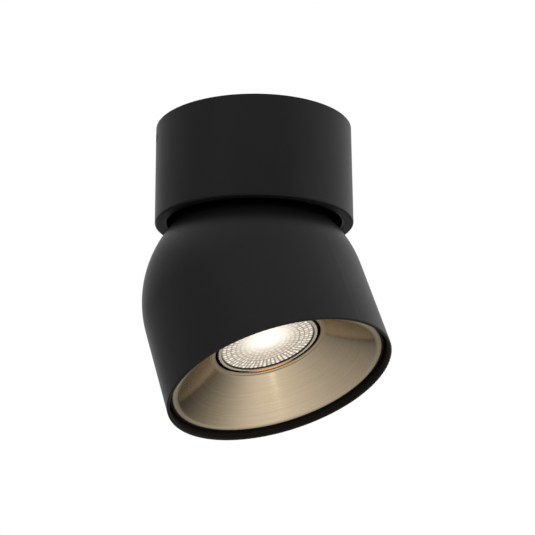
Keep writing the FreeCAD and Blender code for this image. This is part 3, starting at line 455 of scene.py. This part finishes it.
def turned_piece(name, outline, columns, relief=None):
    """A closed outline of n points turned about the lamp's axis in so many columns. Point (i, j) is
    pivot + radius_i (cos a_j lean + sin a_j side) + (height_i + relief(radius_i, a_j, i)) up.
    The UV map holds the turn, from 0 to 1, and the way along the outline in metres."""
    rows = len(outline)
    angle = np.linspace(0, 2 * math.pi, columns, endpoint=False)
    radius = np.repeat(outline[:, :1], columns, axis=1)
    height = np.repeat(outline[:, 1:], columns, axis=1)
    if relief is not None:
        height = height + relief(radius, angle[None, :], np.arange(rows)[:, None])
    local = np.stack([radius * np.cos(angle), radius * np.sin(angle), height], axis=-1)
    points = pivot + local @ head_axes
    i, j = np.meshgrid(np.arange(rows), np.arange(columns), indexing="ij")
    next_i = (i + 1) % rows
    next_j = (j + 1) % columns
    faces = np.stack(
        [
            i * columns + j,
            next_i * columns + j,
            next_i * columns + next_j,
            i * columns + next_j,
        ],
        axis=-1,
    )
    mesh = bpy.data.meshes.new(name)
    mesh.from_pydata(points.reshape(-1, 3).tolist(), [], faces.reshape(-1, 4).tolist())
    way = np.concatenate([[0], np.cumsum(np.linalg.norm(np.diff(outline, axis=0), axis=1))])
    end_way = way[-1] + np.linalg.norm(outline[0] - outline[-1])
    way = np.append(way, end_way)
    u = np.stack([j, j, j + 1, j + 1], axis=-1) / columns
    v = np.stack([way[i], way[i + 1], way[i + 1], way[i]], axis=-1)
    layer = mesh.uv_layers.new(name="turn")
    layer.data.foreach_set("uv", np.stack([u, v], axis=-1).ravel())
    close_and_face_out(mesh)
    mesh.shade_smooth()
    mesh.set_sharp_from_angle(angle=sharp_angle)
    return link(bpy.data.objects.new(name, mesh))


merge_distance = 1e-7
least_edge = 1e-8


def close_and_face_out(mesh):
    """Merges the points at poles and turns every face outwards."""
    shape = bmesh.new()
    shape.from_mesh(mesh)
    bmesh.ops.remove_doubles(shape, verts=shape.verts, dist=merge_distance)
    bmesh.ops.dissolve_degenerate(shape, edges=shape.edges, dist=least_edge)
    bmesh.ops.recalc_face_normals(shape, faces=shape.faces)
    shape.to_mesh(mesh)
    shape.free()


sheet_t = 1.0 * MM
shoulder_r = 3.0 * MM
bead_width = 2.3 * MM
bead_h = 0.75 * MM
bead_lean = 0.1 * MM  # from the foot of its outer side in to its face
bead_outer_round = 0.6 * MM
bead_inner_round = 1.1 * MM
crease_width = 0.5 * MM
crease_round = 0.15 * MM
throat_below_lens = 0.4 * MM
collar_h = 3.0 * MM
outline_spacing = 1.2 * MM
cone_columns = 288
throat_r, reflector_r, lip_low, skirt_top = head_span("reflector")
_, lens_r, lens_face, lens_back = head_span("lamp_lens")
throat_w = lens_face - throat_below_lens
crease_r = throat_r + bead_width + crease_width
shoulder_across = reflector_r - shoulder_r - crease_r
shoulder_down = throat_w - (lip_low + shoulder_r)
cone_angle = math.atan2(shoulder_down, shoulder_across) + math.asin(
    shoulder_r / math.hypot(shoulder_across, shoulder_down)
)
cone_slope = math.tan(cone_angle)
cone_back = sheet_t / math.cos(cone_angle)
collar_top = throat_w + collar_h


def cone_height(radius, back=0.0):
    return throat_w - (radius - crease_r) * cone_slope + back


reflector_outline = rounded_outline(
    [
        (reflector_r, skirt_top, 0),
        (reflector_r, cone_height(reflector_r), shoulder_r),
        (crease_r, throat_w, crease_round),
        (crease_r - crease_width, throat_w, crease_round),
        (throat_r + bead_width - bead_lean, throat_w - bead_h, bead_outer_round),
        (throat_r, throat_w - bead_h, bead_inner_round),
        (throat_r, collar_top, 0),
        (throat_r + sheet_t, collar_top, 0),
        (throat_r + sheet_t, cone_height(throat_r + sheet_t, cone_back), 0),
        (reflector_r - sheet_t, cone_height(reflector_r - sheet_t, cone_back), shoulder_r - sheet_t),
        (reflector_r - sheet_t, skirt_top, 0),
    ],
    outline_spacing,
)
reflector = turned_piece("reflector_cone", reflector_outline, cone_columns)
fine_brush = (9.0, 4200.0, 1.0)  # cycles in a turn, and in a metre across the brushing
broad_brush = (4.0, 800.0, 1.0)


def brushed_brass():
    """Brushing that runs round the cone: noise stretched along the turn, in bump, gloss and colour."""
    brass = Finish("brushed_brass")
    along = brass.node("UVMap", {"uv_map": "turn"})
    fine = brass.node("Mapping", {}, {"Vector": along, "Scale": fine_brush})
    broad = brass.node("Mapping", {}, {"Vector": along, "Scale": broad_brush})
    fine_lines = brass.noise(scale=1.0, detail=3.0, vector=fine, roughness=0.6)
    broad_lines = brass.noise(scale=1.0, detail=2.0, vector=broad)
    lines = fine_lines * 0.6 + broad_lines * 0.4
    return brass.surface(
        Base_Color=brass.mix(lines, (0.48, 0.385, 0.265), (0.76, 0.64, 0.475)),
        Metallic=1.0,
        Roughness=broad_lines * 0.10 + 0.13,
        Normal=brass.bump(lines, distance=0.00002, strength=0.35),
    )


reflector.data.materials.append(brushed_brass())
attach(reflector, "head_body")
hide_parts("reflector")


# ---- Lamp lens ----
# The moulded clear face of the lamp: three rows of ribs round the edge, rows of small cushions inside
# them and a smooth middle over the LED. It is lit, white hot in a painted pool a little off the middle,
# and dimmer to the edge.
lens_columns = 480
centre_rings, row_rings = 5, 6
lens_ground = 0.45 * MM  # from the lens's lowest point up to the face that the cushions stand on
centre_rise = 0.35  # millimetres, of the smooth middle
cushion_rise, rib_rise = 0.25, 0.42  # millimetres
cushion_bluntness, rib_bluntness, side_bluntness = 0.5, 0.12, 0.8
cell_change = 0.35  # the most that a cushion loses of its rise, as a share
cell_step, row_step = 2.4, 1.7  # radians, which scatter that loss
ribbed_from = 0.70  # share of the lens's radius where the outer ribs begin
rib_dark, rib_bright = 0.20, 1.0
cushion_dark, cushion_gain = 0.46, 0.55
painted_pool_shift = (0.15, -0.15)  # share of the lens's radius, towards lean and side, by which the painted pool of light is set off the lens's middle
led_spread = 0.54
led_edge = 4  # how sharply the pool of light ends
lens_rows = [  # inner and outer share of the radius, copies round the lens, and height
    (0.30, 0.40, 20, cushion_rise),
    (0.40, 0.50, 28, cushion_rise),
    (0.50, 0.60, 36, cushion_rise),
    (0.60, 0.70, 44, cushion_rise),
    (0.70, 0.80, 60, rib_rise),
    (0.80, 0.90, 60, rib_rise),
    (0.90, 0.985, 60, rib_rise),
]


def cushion_rows(share, angle):
    """Height, in millimetres, of the lens's cushions and ribs. In each row it is rise * change *
    sin(pi * way across) ^ bluntness * |cos(copies * angle / 2)| ^ side_bluntness. Every other row of
    cushions is turned half a copy, and change takes up to cell_change off a copy's rise."""
    height = np.zeros(np.broadcast(share, angle).shape)
    for k, (inner, outer, copies, rise) in enumerate(lens_rows):
        ribbed = inner >= ribbed_from
        across = np.clip((share - inner) / (outer - inner), 0, 1)
        bluntness = rib_bluntness if ribbed else cushion_bluntness
        half_copy = 0 if ribbed else (k % 2) * math.pi / 2
        turn = copies * angle / 2 + half_copy
        cell = np.floor(turn / math.pi + 0.5)
        change = 1 - cell_change * (0.5 + 0.5 * np.sin(cell * cell_step + k * row_step))
        ridge = rise * change * np.sin(math.pi * across) ** bluntness
        height = height + ridge * np.abs(np.cos(turn)) ** side_bluntness
    return height


front_share = np.concatenate(
    [np.linspace(0, lens_rows[0][0], centre_rings, endpoint=False)]
    + [np.linspace(row[0], row[1], row_rings, endpoint=False) for row in lens_rows]
    + [[lens_rows[-1][1], 1.0]]
)
lens_front_rows = len(front_share)
lens_outline = np.concatenate(
    [
        np.stack([front_share * lens_r, np.full(lens_front_rows, lens_face + lens_ground)], axis=-1),
        [[lens_r, lens_back], [0.0, lens_back]],
    ]
)


def lens_relief(radius, angle, row):
    """Metres down from the ground on the front's rows: the cushions' height, and in the middle
    centre_rise * (1 - (share / the first row's inner share) ^ 2)."""
    front = row < lens_front_rows
    share = radius / lens_r
    centre = centre_rise * np.clip(1 - (share / lens_rows[0][0]) ** 2, 0, 1)
    return -(cushion_rows(share, angle) + centre) * front * MM


lens = turned_piece("faceted_lens", lens_outline, lens_columns, lens_relief)


def lit_lens():
    """Clear plastic, lit from behind: the glow attribute, from 0 to 1, picks the colour it gives off."""
    clear = Finish("lit_lens")
    glow = clear.node("Attribute", {"attribute_name": "glow"}, output="Fac")
    colour = clear.node(
        "ValToRGB",
        {
            "stops": [
                (0.0, (0.03, 0.027, 0.022)),
                (0.25, (0.14, 0.12, 0.10)),
                (0.5, (0.38, 0.31, 0.24)),
                (0.75, (0.72, 0.64, 0.54)),
                (1.0, (1.0, 0.97, 0.90)),
            ]
        },
        {"Fac": glow},
    )
    return clear.surface(
        Base_Color=(0.08, 0.075, 0.07),
        Roughness=0.10,
        Specular_IOR_Level=0.4,
        Emission_Color=colour,
        Emission_Strength=1.0,
    )


def set_glow(piece):
    """Stores glow at each point: cells + (1 - cells) * exp(-(distance / led_spread) ^ led_edge). cells
    is rib_dark + (rib_bright - rib_dark) * height among the ribs and cushion_dark + cushion_gain * height
    inside them, with height a share of rib_rise, and distance is from the centre of the painted pool of
    light, which is set off the lens's middle."""
    mesh = piece.data
    flat = np.empty(len(mesh.vertices) * 3)
    mesh.vertices.foreach_get("co", flat)
    lean, side, height = ((flat.reshape(-1, 3) - pivot) @ head_axes.T).T / lens_r
    share = np.hypot(lean, side)
    cushions = cushion_rows(share, np.arctan2(side, lean)) / rib_rise
    rib_cells = rib_dark + (rib_bright - rib_dark) * cushions
    cells = np.where(share > ribbed_from, rib_cells, cushion_dark + cushion_gain * cushions)
    distance = np.hypot(lean - painted_pool_shift[0], side - painted_pool_shift[1])
    pool_of_light = np.exp(-((distance / led_spread) ** led_edge))
    glow = np.clip(cells + (1 - cells) * pool_of_light, 0, 1)
    layer = mesh.attributes.new("glow", "FLOAT", "POINT")
    layer.data.foreach_set("value", glow.astype(np.float32))


set_glow(lens)
lens.data.materials.append(lit_lens())
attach(lens, "lamp_body")
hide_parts("lamp_lens")


# ---- Lamp housing ----
# The lamp's moulded shell. Its bezel shows as a pale ring round the lens, and an orange glow is painted
# on one side of its shell, where it shows in the gap at the reflector's throat.
lamp_r = head_span("lamp_housing")[1]
ring_inner, ring_outer = 1.75 * MM, 0.45 * MM  # in from the lamp's outside
painted_glow_depth = 0.25 * MM  # in from the lamp's outside
painted_glow_above = 0.2 * MM  # up from the lens's face
# the turn of the shell on which the orange glow is painted
painted_glow_turn = math.radians(136)
painted_glow_edge = 0.90  # cosine of the angle from painted_glow_turn at which the glow starts
painted_glow_steepness = 9.0


def lamp_shell():
    """Dark plastic with a pale ring at the bezel and a painted orange glow on one side of the shell. The
    radius and the turn come from Object coordinates, taken from the pivot and turned to the head's axes."""
    shell = Finish("lamp_shell")
    turn = Matrix(head_axes.tolist()).to_euler()
    centred = shell.node("VectorMath", {"operation": "SUBTRACT"}, {0: shell.place(), 1: pivot.tolist()})
    local = shell.node("Mapping", {}, {"Vector": centred, "Rotation": tuple(turn)})
    lean = shell.node("SeparateXYZ", {}, {"Vector": local})
    side, height = (Wire(shell, lean.socket.node.outputs[axis]) for axis in ("Y", "Z"))
    radius = (lean * lean + side * side).power(0.5)
    behind_bezel = (radius > lamp_r - painted_glow_depth) * (height > lens_face + painted_glow_above)
    towards_painted_glow = (lean * math.cos(painted_glow_turn) + side * math.sin(painted_glow_turn)) / radius
    painted_glow = ((towards_painted_glow - painted_glow_edge) * painted_glow_steepness).clipped() * behind_bezel
    ring = (radius > lamp_r - ring_inner) * (radius < lamp_r - ring_outer)
    mottle = shell.noise(scale=180.0)
    pale = shell.mix(mottle, (0.33, 0.29, 0.23), (0.42, 0.38, 0.31))
    return shell.surface(
        Base_Color=shell.mix(ring, (0.03, 0.028, 0.025), pale),
        Roughness=mottle * 0.1 + 0.25,
        Emission_Color=shell.mix(painted_glow, (0.0, 0.0, 0.0), (1.0, 0.42, 0.10)),
        Emission_Strength=2.2,
    )


dress("lamp_housing", lamp_shell())


# ---- Zinc-plated and black steel ----
# The bracket, pivot and fixings are plated steel with the faint cloudy streaks of zinc; the plate,
# yoke and lamp frame inside are sheet steel with thin black paint.
def plated_steel(name, low, high, roughness):
    zinc = Finish(name)
    cloud = zinc.noise(scale=320.0, detail=3.0)
    scratch = zinc.noise(scale=2600.0, detail=1.0)
    return zinc.surface(
        Base_Color=zinc.mix(cloud, low, high),
        Metallic=1.0,
        Roughness=cloud * 0.16 + roughness,
        Normal=zinc.bump(scratch, distance=0.00001, strength=0.4),
    )


zinc_bright = plated_steel("bright_zinc", (0.48, 0.50, 0.52), (0.66, 0.68, 0.69), 0.24)
spring_grey = plated_steel("spring_steel", (0.24, 0.25, 0.27), (0.40, 0.41, 0.43), 0.22)
for node in (
    "ceiling_bracket",
    "pan_stop_pin",
    "terminal_screws",
    "terminal_fixing_screws",
    "earth_washer",
    "earth_screw",
    "pan_nipple",
    "pan_collar",
    "stop_washer",
    "pan_nut",
    "yoke_upper_nut",
    "yoke_lower_nut",
    "tilt_nuts",
    "lampholder_screws",
):
    dress(node, zinc_bright)
for node in ("pan_disc_spring", "tilt_springs", "reflector_clips"):
    dress(node, spring_grey)
inner_black = black_coat("inner_black", (0.018, 0.018, 0.019), (0.030, 0.030, 0.031))
for node in ("carrier_plate", "yoke", "lamp_frame"):
    dress(node, inner_black)


# ---- Canopy side screws and tilt screws ----
# Blackened socket screws. The side screws sit just inside the canopy's holes.
def blackened_steel():
    black = Finish("blackened_steel")
    wear = black.noise(scale=1400.0, detail=3.0)
    return black.surface(
        Base_Color=black.mix(wear, (0.004, 0.004, 0.0045), (0.02, 0.02, 0.021)),
        Metallic=0.3,
        Roughness=wear * 0.2 + 0.28,
    )


screw_black = blackened_steel()
dress("canopy_side_screws", screw_black)
dress("tilt_screws", screw_black)


# ---- Brass contacts, terminal block and plastics ----
# Turned and stamped brass in the terminal block, the earth tag and the lampholder. The block, bush and
# slip washers are moulded, the lampholder is fired ceramic and the friction washers are fibre.
def moulded(name, low, high, roughness):
    """Moulded plastic or fired ceramic: a soft cloud of colour and a fine grain."""
    plastic = Finish(name)
    cloud = plastic.noise(scale=140.0, detail=3.0)
    grain = plastic.noise(scale=3200.0, detail=1.0)
    return plastic.surface(
        Base_Color=plastic.mix(cloud, low, high),
        Roughness=cloud * 0.12 + roughness,
        Normal=plastic.bump(grain, distance=0.00001, strength=0.4),
    )


contact_brass = plated_steel("contact_brass", (0.60, 0.42, 0.16), (0.80, 0.60, 0.28), 0.22)
for node in ("terminal_clamps", "earth_tag", "lampholder_contacts"):
    dress(node, contact_brass)
dress("terminal_block", moulded("block_plastic", (0.66, 0.65, 0.60), (0.74, 0.73, 0.68), 0.35))
nylon = moulded("nylon", (0.62, 0.60, 0.55), (0.72, 0.70, 0.65), 0.42)
for node in ("lower_slip_washer", "upper_slip_washer"):
    dress(node, nylon)
dress("nipple_bush", moulded("bush_plastic", (0.02, 0.02, 0.02), (0.035, 0.035, 0.035), 0.4))
dress("tilt_friction_washers", moulded("fibre", (0.20, 0.06, 0.035), (0.32, 0.11, 0.06), 0.65))
dress("lampholder", moulded("holder_ceramic", (0.66, 0.65, 0.61), (0.76, 0.75, 0.71), 0.45))
dress("clip_rivets", plated_steel("rivet_aluminium", (0.60, 0.60, 0.61), (0.74, 0.74, 0.75), 0.25))


# ---- Leads ----
# Insulated copper: brown live, blue neutral, green and yellow earth, and heat-proof pale leads at the
# lampholder.
for node, low, high in (
    ("live_lead", (0.060, 0.022, 0.010), (0.085, 0.032, 0.015)),
    ("neutral_lead", (0.020, 0.075, 0.26), (0.030, 0.10, 0.33)),
    ("holder_leads", (0.52, 0.50, 0.46), (0.62, 0.60, 0.56)),
):
    dress(node, moulded(node + "_sleeve", low, high, 0.35))


def striped_earth():
    """Green insulation with its upper half yellow, split by Object Z."""
    sleeve = Finish("earth_sleeve")
    height = sleeve.node("SeparateXYZ", {}, {"Vector": sleeve.place()}, output=2)
    middle_height = (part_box("earth_lead")[0][2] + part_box("earth_lead")[1][2]) / 2
    cloud = sleeve.noise(scale=220.0)
    return sleeve.surface(
        Base_Color=sleeve.mix(height > middle_height, (0.05, 0.24, 0.05), (0.62, 0.55, 0.05)),
        Roughness=cloud * 0.1 + 0.35,
    )


dress("earth_lead", striped_earth())


# ---- Lamp inside and base ----
# Behind the lens: an aluminium LED board with its phosphor chip, a small driver board, and the
# plastic base with two pins that turn into the lampholder.
dress("led_board", moulded("board_mask", (0.70, 0.70, 0.69), (0.78, 0.78, 0.77), 0.3))
dress("led_chip", moulded("phosphor", (0.75, 0.52, 0.10), (0.85, 0.62, 0.16), 0.3))
dress("lamp_driver", moulded("driver_green", (0.02, 0.10, 0.04), (0.035, 0.15, 0.06), 0.35))
dress("lamp_base", moulded("base_plastic", (0.66, 0.66, 0.65), (0.74, 0.74, 0.73), 0.3))
dress("lamp_pins", plated_steel("pin_nickel", (0.55, 0.54, 0.52), (0.70, 0.69, 0.67), 0.15))
